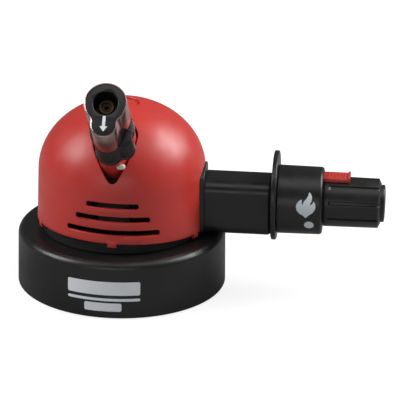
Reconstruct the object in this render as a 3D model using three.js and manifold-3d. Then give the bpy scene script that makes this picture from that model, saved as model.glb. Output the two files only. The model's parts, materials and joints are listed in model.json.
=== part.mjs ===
// Table-top butane torch: a weighted round base, a domed housing with a tilted
// keyhole burner on its front, and a side handle that carries the flame knob,
// the ignition button and the hands-free lock.
// Millimetres, +Z up. The origin is the centre of the underside, the burner
// points to -Y and up, and the handle runs along +X.
import * as THREE from 'three';
import { mergeVertices } from 'three/addons/utils/BufferGeometryUtils.js';
import Module from 'manifold-3d';

const wasm = await Module();
wasm.setup();

const GAP = 0.3; // clearance between neighbouring pieces
const EPS = 1; // how far a cutting tool overshoots the face it opens
const FINE = 48; // facets round the large turned pieces
const MEDIUM = 32; // facets round the handle pieces
const SMOOTH = 20; // facets round the burner's bores and the valves
const COARSE = 10; // facets round pins, screws and screw holes
const rad = THREE.MathUtils.degToRad;

// Base
const BASE_R = 55;
const BASE_TOP_R = 54.74;
const BASE_TOP = 30.8;
const BASE_FILLET = 4;
const BASE_WALL = 2.5;
const BASE_BOTTOM = 0.5; // the pad, not the shell, meets the bench
const PAD_R = 51.6;
const PAD_T = 1.6;
const COVER_T = 2;
const COVER_BOTTOM = PAD_T + GAP;
const COVER_TOP = COVER_BOTTOM + COVER_T;
const WEIGHT_BOTTOM = COVER_TOP + GAP;
const WEIGHT_TOP = WEIGHT_BOTTOM + 8;
const WEIGHT_R = 48.6;
const WEIGHT_BORE_R = 28;
const BOSS_CIRCLE = 41;
const BOSS_R = 4;
const SHANK_R = 1.5;
const HEAD_R = 3;
const HEAD_T = 1;
const SCREW_TOP = 24;

// Fuel tank and filling valve
const TANK_R = 26;
const TANK_BOTTOM = 8;
const TANK_TOP = 62;
const TANK_WALL = 2;
const VALVE_X = -14;
const VALVE_R = 4;
const VALVE_FLANGE_R = 6;
const VALVE_FLANGE_T = 2;
const VALVE_TOP = 20;
const VALVE_BORE_TOP = 15;
const STEM_R = 1.4;
const STEM_BOTTOM = 4.2;
const STEM_LENGTH = 8.3;
const PORT_R = 7;
const OUTLET_X = 10;
const OUTLET_TOP = 68;
const OUTLET_STEM_R = 2;
const OUTLET_FLANGE_R = 4.5;
const OUTLET_FLANGE_T = 2;
const OUTLET_BARB_R = 1.6;
const GAS_TUBE_R = 1.4;

// Dome
const DOME_RIM = 37.5; // at the front
const RIM_FALL = 0.075; // the rim and the vents fall towards the back
const RIM_LEAN = 0.03; // and a little towards the handle
const DOME_BOTTOM = 31.7;
const DOME_RIM_R = 44.63;
const DOME_SHOULDER = 62.6;
const DOME_R = 43.94;
const DOME_RISE = 37.4;
const DOME_WALL = 2.2;
const DOME_INNER_RISE = 33.4;
const RECESS_R = 8.75;
const RECESS_FLOOR = 97;
const CAP_TOP = 98.4;
const CAP_EDGE = 0.3;
const CAP_STEM_R = 2.5;
const CAP_STEM_LENGTH = 3;
const OPENING_TOP = { y: 2, r: 11.8 }; // the teardrop opening, in the burner's frame
const OPENING_WAIST = { x: 10.6, y: -9 };
const OPENING_TIP = { x: 0.5, y: -20.4, r: 3 };
const OPENING_TIP_LEAN = 32;
const TAB_W = 4.8;
const TAB_T = 1.7;
const TAB_INSET = 0.25;
const TAB_DROP = 2;
const TAB_ANGLES = [0, 67, -67]; // degrees from the front
const VENT_H = 2.9;
const VENTS = [
  { z: 58.3, halfAngle: 18 },
  { z: 51, halfAngle: 26 },
  { z: 43.7, halfAngle: 33 },
];

// Chassis tray between the base and the dome
const TRAY_R = 42.1;
const TRAY_WALL = 1.8;
const TRAY_BOTTOM = BASE_TOP + GAP;
const TRAY_FLOOR = TRAY_BOTTOM + 3;
const TRAY_TOP = 42;
const CHASSIS_CIRCLE = 35;

// Burner, in its own frame: +Z out of the mouth, the lobe on the -Y side
const BURNER_ANGLE = 42;
const BURNER_X = -0.6;
const BURNER_Y = -66;
const BURNER_Z = 122.5;
const MAIN_R = 10.2;
const LOBE_R = 6.1;
const LOBE_DROP = 11.5;
const BLEND_R = 5;
const SLEEVE_WALL = 0.6;
const SLEEVE_LENGTH = 21.6;
const FACE_SINK = 0.4;
const FACE_T = 2.2;
const BORE_R = 6.3;
const NOZZLE_DEPTH = 5.8;
const NOZZLE_LENGTH = 7;
const NOZZLE_STEP = 4.5;
const NOZZLE_CUP = 1;
const NOZZLE_RING_R = 3.8;
const NOZZLE_CUP_R = 2.4;
const JET_R = 0.9;
const COLLAR_END = 38;
const COLLAR_WALL = 0.9;
const COLLAR_LIP = 2;
const COLLAR_LIP_WALL = 1.4;
const EAR_X = 6.9; // round shoulder on one side of the black collar
const EAR_DROP = 9.8;
const EAR_R = 5.4;
const NECK_TOP = { y: 1, r: 11 };
const NECK_LOBE = { y: -10.6, r: 7 };
const NECK_END = 59.5;
const TUBE_END = 66.8;
const TUBE_BORE_R = 3.6;
const INSULATOR_R = 2.2;
const ELECTRODE_R = 0.9;
const PLUG_R = 1.45; // small ceramic plug let into the side of the neck's lobe
const PLUG_LEFT = 2.6;
const PLUG_RIGHT = 7.3;
const PLUG_DROP = 16.2;
const PLUG_DEPTH = 45.9;
const BRACKET_TOP = 8;
const BRACKET_BOTTOM = -15;
const BRACKET_T = 5;
const BRACKET_HALF_W = 8;
const COLUMN_BACK = -29;
const COLUMN_FRONT = -36;
const LEAD_R = 0.9;

// Handle: the stock's axis lies lower than the axis of the controls
const STOCK_Z = 46.3;
const STOCK_HALF_H = 14.6;
const STOCK_HALF_D = 12.4;
const STOCK_CORNER = 6;
const STOCK_WALL = 2.2;
const SADDLE_START = 35;
const SADDLE_END = 44.2;
const SADDLE_HALF_D = 12.7;
const SADDLE_SHOULDER = 60.8;
const SADDLE_PEAK = 66.7;
const SADDLE_CORNER = 3;
const PASSAGE = { halfW: 8.5, halfH: 10.5, z: 47 };
const STOCK_END = 79.3;
const STOCK_END_ROUND = 1.8;
const PIEZO_R = 5.5;
const PIEZO_TAIL_R = 3.5;
const PIEZO_START = 50;
const PIEZO_BODY = 54;
const PIEZO_BORE = 73;
const PIEZO_END = 78.4;
const HOLDER_START = 60;
const HOLDER_END = 70;
const HOLDER_HALF_H = 7;
const GUARD_Z = 51.4;
const GUARD_R = 23.45;
const GUARD_START = STOCK_END + GAP;
const GUARD_END = 82.2;
const GUARD_EDGE = 0.5;
const GUARD_HOLE_R = 9;
const CONTROL_Z = 49.4;
const COLLAR_START = GUARD_END + GAP;
const COLLAR_R = 17.95;
const COLLAR_TIP_R = 17.75;
const COLLAR_FACE = 106;
const COLLAR_FILLET = 1.6;
const COLLAR_SHELL = 2.2;
const COLLAR_BORE_R = 10.8;
const VALVE_CARRIER = { r: 15.3, start: 86, end: 92 };
const GAS_VALVE = { r: 8, start: 84, seat: 91, end: 102 };
const KNOB_START = COLLAR_FACE + 0.35;
const KNOB_END = 136.1;
const KNOB_R = 13.26;
const KNOB_TIP_R = 12.99;
const KNOB_CHAMFER_X = 1.2;
const KNOB_CHAMFER_R = 2.5;
const KNOB_EDGE = 0.5;
const HUB_START = 103.6;
const HUB_R = 10.4;
const GROOVES = 9;
const GROOVE_FIRST = 16; // degrees of elevation from the front
const GROOVE_W = 1.9;
const GROOVE_DEPTH = 0.9;
const GROOVE_START = 109;
const BUTTON_R = 9.8;
const BUTTON_BACK = 126.5;
const BUTTON_TIP = 138.5;
const BUTTON_SOCKET_R = BUTTON_R + 0.4;
const RECESS_X = 122.5;
const ROD_R = 2.2;
const ROD_START = 76.5;
const SPINDLE_R = 4;
const SPINDLE_START = 92;
const LOCK_START = 100;
const LOCK_END = 119.8;
const LOCK_HALF_W = 5.25;
const LOCK_TOP = 14.6; // above the control axis
const LOCK_TRAVEL = 6;
const LOCK_EDGE = 0.6;
const LOCK_RIB_FIRST = 108;
const LOCK_RIB_PITCH = 1.7;
const LOCK_RIB_W = 0.8;
const LOCK_LIP_W = 1.3;

// ---------------------------------------------------------------- materials

function material(color, roughness, metalness) {
  return new THREE.MeshStandardMaterial({ color, roughness, metalness });
}

const redPlastic = material(0xc4302b, 0.45, 0);
const blackPlastic = material(0x1b1b19, 0.5, 0);
const blackRubber = material(0x101010, 0.9, 0);
const smokedPlastic = material(0x24262a, 0.3, 0);
const steel = material(0x8d9094, 0.4, 1);
const chrome = material(0xd8d8da, 0.15, 1);
const brass = material(0xb08a45, 0.35, 1);
const ceramic = material(0xe6dfc8, 0.4, 0);
const redLock = material(0xd23b30, 0.4, 0);
const clearTube = material(0xd9d4c4, 0.35, 0);
const leadSheath = material(0x2a2a2a, 0.6, 0);

// ---------------------------------------------------------- solid geometry

// Keeps only positions, merges shared vertices and makes the faces point out.
function weld(geometry) {
  const bare = new THREE.BufferGeometry();
  bare.setAttribute('position', geometry.attributes.position);
  if (geometry.index) bare.setIndex(geometry.index);
  const merged = mergeVertices(bare, 1e-4);
  const corner = [new THREE.Vector3(), new THREE.Vector3(), new THREE.Vector3()];
  const index = merged.index.array;
  const kept = [];
  let volume = 0;
  for (let i = 0; i < index.length; i += 3) {
    const [a, b, c] = [index[i], index[i + 1], index[i + 2]];
    if (a === b || b === c || c === a) continue;
    kept.push(a, b, c);
    [a, b, c].forEach((vertex, k) => corner[k].fromBufferAttribute(merged.attributes.position, vertex));
    volume += corner[0].dot(corner[1].cross(corner[2]));
  }
  if (volume < 0) kept.reverse();
  merged.setIndex(kept);
  return merged;
}

function toManifold(geometry) {
  const welded = weld(geometry);
  const vertProperties = new Float32Array(welded.attributes.position.array);
  const triVerts = new Uint32Array(welded.index.array);
  return new wasm.Manifold(new wasm.Mesh({ numProp: 3, vertProperties, triVerts }));
}

function toGeometry(solid) {
  const mesh = solid.getMesh();
  const geometry = new THREE.BufferGeometry();
  geometry.setAttribute('position', new THREE.BufferAttribute(mesh.vertProperties, 3));
  geometry.setIndex(new THREE.BufferAttribute(mesh.triVerts, 1));
  return geometry;
}

function cut(body, ...tools) {
  return toGeometry(tools.reduce((rest, tool) => rest.subtract(toManifold(tool)), toManifold(body)));
}

function join(body, ...others) {
  return toGeometry(others.reduce((sum, other) => sum.add(toManifold(other)), toManifold(body)));
}

function common(body, ...others) {
  return toGeometry(others.reduce((rest, other) => rest.intersect(toManifold(other)), toManifold(body)));
}

// Points of an arc in a profile, angles in degrees.
function arc(cx, cy, r, from, to, steps) {
  const points = [];
  for (let i = 0; i <= steps; i += 1) {
    const angle = rad(from + ((to - from) * i) / steps);
    points.push([cx + r * Math.cos(angle), cy + r * Math.sin(angle)]);
  }
  return points;
}

// Turns a profile of [radius, height] points about Z. A profile that doesn't
// start and end on the axis is closed on itself.
function turned(profile, facets = COARSE) {
  const points = profile.map(([r, z]) => new THREE.Vector2(r, z));
  const first = points[0];
  const last = points[points.length - 1];
  if (first.x > 0 || last.x > 0) points.push(first.clone());
  return weld(new THREE.LatheGeometry(points, facets).rotateX(Math.PI / 2));
}

// The same, about X: profile points are [radius, x].
function turnedX(profile, facets = MEDIUM) {
  return turned(profile, facets).rotateY(Math.PI / 2);
}

function rod(r, low, high, facets = COARSE) {
  return turned([[0, low], [r, low], [r, high], [0, high]], facets);
}

function rodX(r, low, high, facets = COARSE) {
  return rod(r, low, high, facets).rotateY(Math.PI / 2);
}

function ring(inner, outer, low, high, facets = COARSE) {
  return turned([[inner, low], [outer, low], [outer, high], [inner, high]], facets);
}

function block(low, high) {
  const size = high.map((value, i) => value - low[i]);
  const middle = high.map((value, i) => (value + low[i]) / 2);
  return new THREE.BoxGeometry(...size).translate(...middle);
}

function outline(points) {
  return new THREE.Shape(points.map(([x, y]) => new THREE.Vector2(x, y)));
}

function extruded(shape, low, high, curveSegments = 8) {
  const options = { depth: high - low, bevelEnabled: false, curveSegments };
  return weld(new THREE.ExtrudeGeometry(shape, options).translate(0, 0, low));
}

// Extrudes a (y, z) outline along X.
function extrudedX(shape, low, high, curveSegments = 8) {
  const turn = new THREE.Matrix4().makeBasis(
    new THREE.Vector3(0, 1, 0),
    new THREE.Vector3(0, 0, 1),
    new THREE.Vector3(1, 0, 0),
  );
  return extruded(shape, low, high, curveSegments).applyMatrix4(turn);
}

function roundedRect(halfW, halfH, r, cx = 0, cy = 0) {
  const shape = new THREE.Shape();
  shape.absarc(cx + halfW - r, cy + halfH - r, r, 0, Math.PI / 2);
  shape.absarc(cx - halfW + r, cy + halfH - r, r, Math.PI / 2, Math.PI);
  shape.absarc(cx - halfW + r, cy - halfH + r, r, Math.PI, 1.5 * Math.PI);
  shape.absarc(cx + halfW - r, cy - halfH + r, r, 1.5 * Math.PI, 2 * Math.PI);
  return shape;
}

// A tube or wire along a smooth curve.
function along(points, r, steps, sides = 8) {
  const curve = new THREE.CatmullRomCurve3(points.map((p) => new THREE.Vector3(...p)), false, 'centripetal');
  const section = outline(arc(0, 0, r, 0, 360 - 360 / sides, sides - 1));
  return weld(new THREE.ExtrudeGeometry(section, { extrudePath: curve, steps }));
}

function piece(name, geometry, look) {
  const mesh = new THREE.Mesh(geometry, look);
  mesh.name = name;
  return mesh;
}

// ------------------------------------------------------------------- base

function bossPlaces() {
  return [45, 135, 225, 315].map((a) => [BOSS_CIRCLE * Math.cos(rad(a)), BOSS_CIRCLE * Math.sin(rad(a))]);
}

function chassisPlaces() {
  return [80, 180, 280].map((a) => [CHASSIS_CIRCLE * Math.cos(rad(a)), CHASSIS_CIRCLE * Math.sin(rad(a))]);
}

function baseShell() {
  const innerTop = BASE_TOP - BASE_WALL;
  const innerR = BASE_TOP_R - BASE_WALL;
  const filletZ = BASE_TOP - BASE_FILLET;
  const shell = turned([
    [BASE_R - BASE_WALL, BASE_BOTTOM],
    [BASE_R, BASE_BOTTOM],
    ...arc(BASE_TOP_R - BASE_FILLET, filletZ, BASE_FILLET, 0, 90, 6),
    [TANK_R + GAP, BASE_TOP],
    [TANK_R + GAP, innerTop],
    ...arc(innerR - BASE_FILLET / 2, innerTop - BASE_FILLET / 2, BASE_FILLET / 2, 90, 0, 3),
  ], FINE);
  const bosses = bossPlaces().map(
    ([x, y]) => rod(BOSS_R, WEIGHT_TOP + GAP, innerTop + EPS).translate(x, y, 0),
  );
  const holes = bossPlaces().map(([x, y]) => rod(SHANK_R + GAP, 0, SCREW_TOP + EPS).translate(x, y, 0));
  const screwHoles = chassisPlaces().map(([x, y]) => {
    return rod(SHANK_R + GAP, innerTop - EPS, BASE_TOP + EPS).translate(x, y, 0);
  });
  return cut(join(shell, ...bosses), ...holes, ...screwHoles);
}

function antiSlipPad() {
  return cut(rod(PAD_R, 0, PAD_T, MEDIUM), rod(PORT_R, -EPS, PAD_T + EPS, SMOOTH).translate(VALVE_X, 0, 0));
}

function baseCover() {
  const port = rod(PORT_R, 0, COVER_TOP + EPS, SMOOTH).translate(VALVE_X, 0, 0);
  const heads = bossPlaces().map(([x, y]) => {
    return rod(HEAD_R + GAP, COVER_BOTTOM - EPS, COVER_BOTTOM + HEAD_T + GAP).translate(x, y, 0);
  });
  const shanks = bossPlaces().map(([x, y]) => rod(SHANK_R + GAP, 0, COVER_TOP + EPS).translate(x, y, 0));
  return cut(rod(PAD_R, COVER_BOTTOM, COVER_TOP, MEDIUM), port, ...heads, ...shanks);
}

function baseWeight() {
  const holes = bossPlaces().map(([x, y]) => {
    return rod(SHANK_R + GAP, WEIGHT_BOTTOM - EPS, WEIGHT_TOP + EPS).translate(x, y, 0);
  });
  return cut(ring(WEIGHT_BORE_R, WEIGHT_R, WEIGHT_BOTTOM, WEIGHT_TOP, MEDIUM), ...holes);
}

function baseScrew([x, y]) {
  const low = COVER_BOTTOM + GAP / 3;
  const profile = [
    [0, low], [HEAD_R, low], [HEAD_R, low + HEAD_T],
    [SHANK_R, low + HEAD_T], [SHANK_R, SCREW_TOP], [0, SCREW_TOP],
  ];
  return turned(profile).translate(x, y, 0);
}

function chassisScrew([x, y]) {
  const seat = BASE_TOP - BASE_WALL - GAP;
  const top = TRAY_FLOOR - GAP;
  const profile = [
    [0, seat - HEAD_T], [HEAD_R, seat - HEAD_T], [HEAD_R, seat], [SHANK_R, seat], [SHANK_R, top], [0, top],
  ];
  return turned(profile).translate(x, y, 0);
}

// ---------------------------------------------------------------- housing

function saddleTool(grow) {
  const half = SADDLE_HALF_D + grow;
  const shape = outline([
    [half, STOCK_Z - STOCK_HALF_H - 6],
    [half, SADDLE_SHOULDER],
    ...archPoints(half, SADDLE_SHOULDER, SADDLE_PEAK + grow),
    [-half, STOCK_Z - STOCK_HALF_H - 6],
  ]);
  return extrudedX(shape, SADDLE_START - GAP, BASE_R);
}

// The arch's crown, from its right shoulder to its left one.
function archPoints(half, shoulder, peak) {
  const points = [];
  const steps = 12;
  for (let i = 0; i <= steps; i += 1) {
    const angle = (Math.PI * i) / steps;
    points.push([half * Math.cos(angle), shoulder + (peak - shoulder) * Math.sin(angle)]);
  }
  return points;
}

function chassisTray() {
  const tray = turned([
    [TANK_R + GAP, TRAY_BOTTOM],
    [TRAY_R, TRAY_BOTTOM],
    [TRAY_R, TRAY_TOP],
    [TRAY_R - TRAY_WALL, TRAY_TOP],
    [TRAY_R - TRAY_WALL, TRAY_FLOOR],
    [TANK_R + GAP, TRAY_FLOOR],
  ], FINE);
  const holes = chassisPlaces().map(([x, y]) => {
    return rod(SHANK_R + GAP, TRAY_BOTTOM - EPS, TRAY_FLOOR + EPS).translate(x, y, 0);
  });
  return cut(tray, saddleTool(GAP), ...holes);
}

function domeProfile() {
  const innerRim = DOME_RIM_R - DOME_WALL;
  const innerR = DOME_R - DOME_WALL;
  const outer = [];
  const inner = [];
  const steps = 10;
  const innerSteps = 6;
  const edge = Math.asin(RECESS_R / DOME_R);
  for (let i = 0; i <= steps; i += 1) {
    const angle = Math.PI / 2 - ((Math.PI / 2 - edge) * i) / steps;
    outer.push([DOME_R * Math.sin(angle), DOME_SHOULDER + DOME_RISE * Math.cos(angle)]);
  }
  for (let i = 0; i <= innerSteps; i += 1) {
    const angle = (Math.PI * i) / (2 * innerSteps);
    inner.push([innerR * Math.sin(angle), DOME_SHOULDER + DOME_INNER_RISE * Math.cos(angle)]);
  }
  return [
    [innerRim, DOME_BOTTOM],
    [DOME_RIM_R, DOME_BOTTOM],
    ...outer,
    [RECESS_R, RECESS_FLOOR],
    [0, RECESS_FLOOR],
    ...inner,
  ];
}

// Lays a piece on the rim's slant, at a height measured at the dome's front.
function onSlant(geometry, z) {
  const slant = new THREE.Matrix4();
  slant.set(1, 0, 0, 0, 0, 1, 0, 0, -RIM_LEAN, -RIM_FALL, 1, z - RIM_FALL * DOME_RIM_R, 0, 0, 0, 1);
  return geometry.applyMatrix4(slant);
}

function ventTool({ z, halfAngle }) {
  const shape = outline([
    ...arc(0, 0, DOME_R + 4, -90 - halfAngle, -90 + halfAngle, 12),
    ...arc(0, 0, DOME_R - 6, -90 + halfAngle, -90 - halfAngle, 12),
  ]);
  return onSlant(extruded(shape, -VENT_H / 2, VENT_H / 2), z);
}

function rimTool() {
  return onSlant(block([-BASE_R, -BASE_R, -20], [BASE_R, BASE_R, 0]), DOME_RIM);
}

function tab(angle) {
  const outer = DOME_RIM_R - TAB_INSET;
  const low = [-TAB_W / 2, -outer, -TAB_DROP];
  const high = [TAB_W / 2, -outer + TAB_T, EPS];
  return onSlant(block(low, high).rotateZ(rad(angle)), DOME_RIM);
}

function burnerFrame() {
  const frame = new THREE.Matrix4().makeRotationX(rad(90 - BURNER_ANGLE));
  return frame.setPosition(BURNER_X, BURNER_Y, BURNER_Z);
}

// The teardrop opening round the burner's neck, cut along the burner's axis: a
// half circle on top, bowed sides and a small round tip.
function teardropTool() {
  const shape = new THREE.Shape();
  const lean = rad(OPENING_TIP_LEAN);
  const tipHalf = OPENING_TIP.r * Math.cos(lean);
  const tipY = OPENING_TIP.y - OPENING_TIP.r * Math.sin(lean);
  shape.absarc(0, OPENING_TOP.y, OPENING_TOP.r, 0, Math.PI);
  shape.quadraticCurveTo(-OPENING_WAIST.x, OPENING_WAIST.y, OPENING_TIP.x - tipHalf, tipY);
  shape.absarc(OPENING_TIP.x, OPENING_TIP.y, OPENING_TIP.r, Math.PI + lean, 2 * Math.PI - lean);
  shape.quadraticCurveTo(OPENING_WAIST.x, OPENING_WAIST.y, OPENING_TOP.r, OPENING_TOP.y);
  return extruded(shape, -NECK_END - 8, -COLLAR_END, 10).applyMatrix4(burnerFrame());
}

function domeShell() {
  const shell = join(cut(turned(domeProfile(), FINE), rimTool()), ...TAB_ANGLES.map(tab));
  const capHole = rod(CAP_STEM_R + GAP, RECESS_FLOOR - CAP_STEM_LENGTH - EPS, RECESS_FLOOR + EPS);
  return cut(shell, saddleTool(GAP), teardropTool(), capHole, ...VENTS.map(ventTool));
}

function topCap() {
  const low = RECESS_FLOOR + GAP;
  const stem = RECESS_FLOOR - CAP_STEM_LENGTH;
  const r = RECESS_R - GAP;
  return turned([
    [0, stem], [CAP_STEM_R, stem], [CAP_STEM_R, low], [r, low], [r, CAP_TOP - CAP_EDGE],
    [r - CAP_EDGE, CAP_TOP], [0, CAP_TOP],
  ], MEDIUM);
}

// -------------------------------------------------------------- fuel system

function fuelTank() {
  const round = 3;
  const body = turned([
    [0, TANK_BOTTOM],
    ...arc(TANK_R - round, TANK_BOTTOM + round, round, -90, 0, 3),
    ...arc(TANK_R - round, TANK_TOP - round, round, 0, 90, 3),
    [0, TANK_TOP],
  ], MEDIUM);
  const cavity = rod(TANK_R - TANK_WALL, TANK_BOTTOM + TANK_WALL, TANK_TOP - TANK_WALL, MEDIUM);
  const fill = rod(VALVE_R + GAP, TANK_BOTTOM - EPS, TANK_BOTTOM + TANK_WALL + EPS).translate(VALVE_X, 0, 0);
  const outlet = rod(OUTLET_STEM_R + GAP, TANK_TOP - TANK_WALL - EPS, TANK_TOP + EPS)
    .translate(OUTLET_X, 0, 0);
  return cut(body, cavity, fill, outlet);
}

function fillValveBody() {
  const flangeTop = TANK_BOTTOM - GAP;
  const flangeBottom = flangeTop - VALVE_FLANGE_T;
  return turned([
    [STEM_R + GAP, flangeBottom], [VALVE_FLANGE_R, flangeBottom], [VALVE_FLANGE_R, flangeTop],
    [VALVE_R, flangeTop], [VALVE_R, VALVE_TOP], [0, VALVE_TOP], [0, VALVE_BORE_TOP],
    [STEM_R + GAP, VALVE_BORE_TOP], [STEM_R + GAP, flangeBottom],
  ], SMOOTH).translate(VALVE_X, 0, 0);
}

function fillValveStem() {
  return rod(STEM_R, STEM_BOTTOM, STEM_BOTTOM + STEM_LENGTH).translate(VALVE_X, 0, 0);
}

function outletFitting() {
  const low = TANK_TOP + GAP;
  const high = low + OUTLET_FLANGE_T;
  return turned([
    [0, TANK_TOP - 4], [OUTLET_STEM_R, TANK_TOP - 4], [OUTLET_STEM_R, low], [OUTLET_FLANGE_R, low],
    [OUTLET_FLANGE_R, high], [OUTLET_BARB_R, high], [OUTLET_BARB_R, OUTLET_TOP], [0, OUTLET_TOP],
  ]).translate(OUTLET_X, 0, 0);
}

function gasSupplyTube() {
  const low = CONTROL_Z - 4.5;
  return along([
    [OUTLET_X, 0, OUTLET_TOP + GAP], [OUTLET_X, 0, 73], [15, 2, 77], [22, 4, 74], [29.5, 6, 62], [32, 6, 48],
    [37, 6, 41], [44, 6, 38.5], [56, 6, 38], [70, 6, 40], [78, 5.5, low], [83.6, 5, low],
  ], GAS_TUBE_R, 24, 6);
}

function gasDeliveryTube() {
  const low = CONTROL_Z - 4.5;
  return along([
    [83.6, -5, low], [78, -5.5, low], [70, -6, 40], [56, -6, 38], [44, -6, 38.5], [36, -7, 41], [31, -8, 49],
    [29.5, -9, 60], [20, -9, 67], [10, -8, 68.5], [2, -9, 70.5], [0, -12, 73.9], [0, -16, 77.5],
  ], GAS_TUBE_R, 26, 6);
}

// ------------------------------------------------------------------- burner

// The burner's outline: a large circle and a smaller lobe below it, joined by
// two hollow blends.
function keyhole(mainR, lobeR) {
  const a = mainR + BLEND_R;
  const b = lobeR + BLEND_R;
  const drop = (a * a - b * b + LOBE_DROP * LOBE_DROP) / (2 * LOBE_DROP);
  const side = Math.sqrt(a * a - drop * drop);
  const blendAngle = Math.atan2(-drop, side);
  const lobeAngle = Math.atan2(LOBE_DROP - drop, side);
  const shape = new THREE.Shape();
  shape.absarc(0, 0, mainR, blendAngle, Math.PI - blendAngle, false);
  shape.absarc(-side, -drop, BLEND_R, -blendAngle, -lobeAngle, true);
  shape.absarc(0, -LOBE_DROP, lobeR, Math.PI - lobeAngle, 2 * Math.PI + lobeAngle, false);
  shape.absarc(side, -drop, BLEND_R, Math.PI + lobeAngle, Math.PI + blendAngle, true);
  return shape;
}

function burnerSleeve() {
  const outer = extruded(keyhole(MAIN_R + SLEEVE_WALL, LOBE_R + SLEEVE_WALL), -SLEEVE_LENGTH, 0, 10);
  const inner = extruded(keyhole(MAIN_R, LOBE_R), -SLEEVE_LENGTH - EPS, EPS, 10);
  return cut(outer, inner);
}

function boredKeyhole(low, high, bore) {
  const body = extruded(keyhole(MAIN_R - GAP, LOBE_R - GAP), low, high, 7);
  return cut(body, rod(bore, low - EPS, high + EPS, SMOOTH));
}

function burnerFacePlate() {
  return boredKeyhole(-FACE_SINK - FACE_T, -FACE_SINK, BORE_R);
}

function burnerCore() {
  const low = -COLLAR_END + 0.2;
  const high = -FACE_SINK - FACE_T - GAP;
  const channel = rod(INSULATOR_R + GAP, low - EPS, high + EPS).translate(0, -LOBE_DROP, 0);
  return cut(boredKeyhole(low, high, BORE_R), channel);
}

function burnerNozzle() {
  const front = -NOZZLE_DEPTH;
  const back = front - NOZZLE_LENGTH;
  const step = front - NOZZLE_STEP;
  const cup = front - NOZZLE_CUP;
  const flange = BORE_R - GAP;
  return turned([
    [JET_R, back], [flange, back], [flange, step], [NOZZLE_RING_R, step], [NOZZLE_RING_R, front],
    [NOZZLE_CUP_R + 0.3, front], [NOZZLE_CUP_R, cup], [JET_R, cup],
  ], SMOOTH);
}

function burnerTube() {
  const front = -NOZZLE_DEPTH - NOZZLE_LENGTH - GAP;
  return ring(TUBE_BORE_R, BORE_R - 3 * GAP, -TUBE_END, front, SMOOTH);
}

function earShape(grow) {
  return outline(arc(EAR_X, -EAR_DROP, EAR_R + grow, 0, 340, 17));
}

function burnerCollar() {
  const front = -SLEEVE_LENGTH - 0.1;
  const lipFront = -COLLAR_END + COLLAR_LIP;
  const main = extruded(keyhole(MAIN_R + COLLAR_WALL, LOBE_R + COLLAR_WALL), -COLLAR_END, front, 7);
  const lip = extruded(keyhole(MAIN_R + COLLAR_LIP_WALL, LOBE_R + COLLAR_LIP_WALL), -COLLAR_END, lipFront, 7);
  const ear = extruded(earShape(0), -COLLAR_END, front);
  const earLip = extruded(earShape(COLLAR_LIP_WALL - COLLAR_WALL), -COLLAR_END, lipFront);
  const passage = extruded(keyhole(MAIN_R, LOBE_R), -COLLAR_END - EPS, front + EPS, 7);
  return cut(join(main, lip, ear, earLip), passage);
}

// A large circle and the lobe's circle with their common tangents.
function neckShape() {
  const lean = THREE.MathUtils.radToDeg(Math.asin((NECK_TOP.r - NECK_LOBE.r) / (NECK_TOP.y - NECK_LOBE.y)));
  return outline([
    ...arc(0, NECK_TOP.y, NECK_TOP.r, -lean, 180 + lean, 24),
    ...arc(0, NECK_LOBE.y, NECK_LOBE.r, 180 + lean, 360 - lean, 16),
  ]);
}

function burnerNeck() {
  const start = -COLLAR_END - GAP;
  const tubeHole = rod(BORE_R, -NECK_END - EPS, start + EPS, SMOOTH);
  const leadHole = rod(INSULATOR_R + GAP, -NECK_END - EPS, start + EPS).translate(0, -LOBE_DROP, 0);
  const pocket = rodX(PLUG_R + GAP, PLUG_LEFT - GAP, PLUG_RIGHT + EPS, SMOOTH);
  const solid = extruded(neckShape(), -NECK_END, start);
  return cut(solid, tubeHole, leadHole, pocket.translate(0, -PLUG_DROP, -PLUG_DEPTH));
}

function insulatorPlug() {
  const round = PLUG_R - 0.15;
  return turnedX([
    [0, PLUG_LEFT],
    ...arc(PLUG_R - round, PLUG_LEFT + round, round, -90, 0, 4),
    ...arc(PLUG_R - round, PLUG_RIGHT - round, round, 0, 90, 4),
    [0, PLUG_RIGHT],
  ], SMOOTH).translate(0, -PLUG_DROP, -PLUG_DEPTH);
}

function electrodeInsulator() {
  return ring(ELECTRODE_R + GAP, INSULATOR_R, -NECK_END + 4, -5).translate(0, -LOBE_DROP, 0);
}

function electrode() {
  return rod(ELECTRODE_R, -NECK_END - 3, -4, 12).translate(0, -LOBE_DROP, 0);
}

// Stands on the tray and holds the rear end of the neck and the burner tube.
function burnerBracket() {
  const frame = burnerFrame();
  const inFrame = (y, z) => {
    const point = new THREE.Vector3(0, y, z).applyMatrix4(frame);
    return [point.y, point.z];
  };
  const seat = -NECK_END - GAP;
  const back = seat - BRACKET_T;
  const column = TRAY_FLOOR + GAP;
  const shape = outline([
    inFrame(BRACKET_TOP, seat), inFrame(BRACKET_TOP, back), inFrame(BRACKET_BOTTOM, back), [COLUMN_BACK, 64],
    [COLUMN_BACK, column], [COLUMN_FRONT, column], [COLUMN_FRONT, 66], inFrame(BRACKET_BOTTOM, seat),
  ]);
  const low = -TUBE_END - 10;
  const high = seat + 10;
  const tubeHole = rod(BORE_R, low, high, SMOOTH).applyMatrix4(frame);
  const electrodeHole = rod(INSULATOR_R, low, high).translate(0, -LOBE_DROP, 0).applyMatrix4(frame);
  return cut(extrudedX(shape, -BRACKET_HALF_W, BRACKET_HALF_W), tubeHole, electrodeHole);
}

function ignitionLead() {
  const start = new THREE.Vector3(0, -LOBE_DROP, -NECK_END - 3.3).applyMatrix4(burnerFrame());
  const next = new THREE.Vector3(0, -LOBE_DROP, -NECK_END - 8).applyMatrix4(burnerFrame());
  return along([
    [start.x, start.y, start.z], [next.x, next.y, next.z], [12, -21, 70], [23, -12, 70], [30, -3, 63],
    [36, 0, 54], [44, 0, 50], [49.4, 0, CONTROL_Z],
  ], LEAD_R, 18, 6);
}

// ------------------------------------------------------------------- handle

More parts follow.
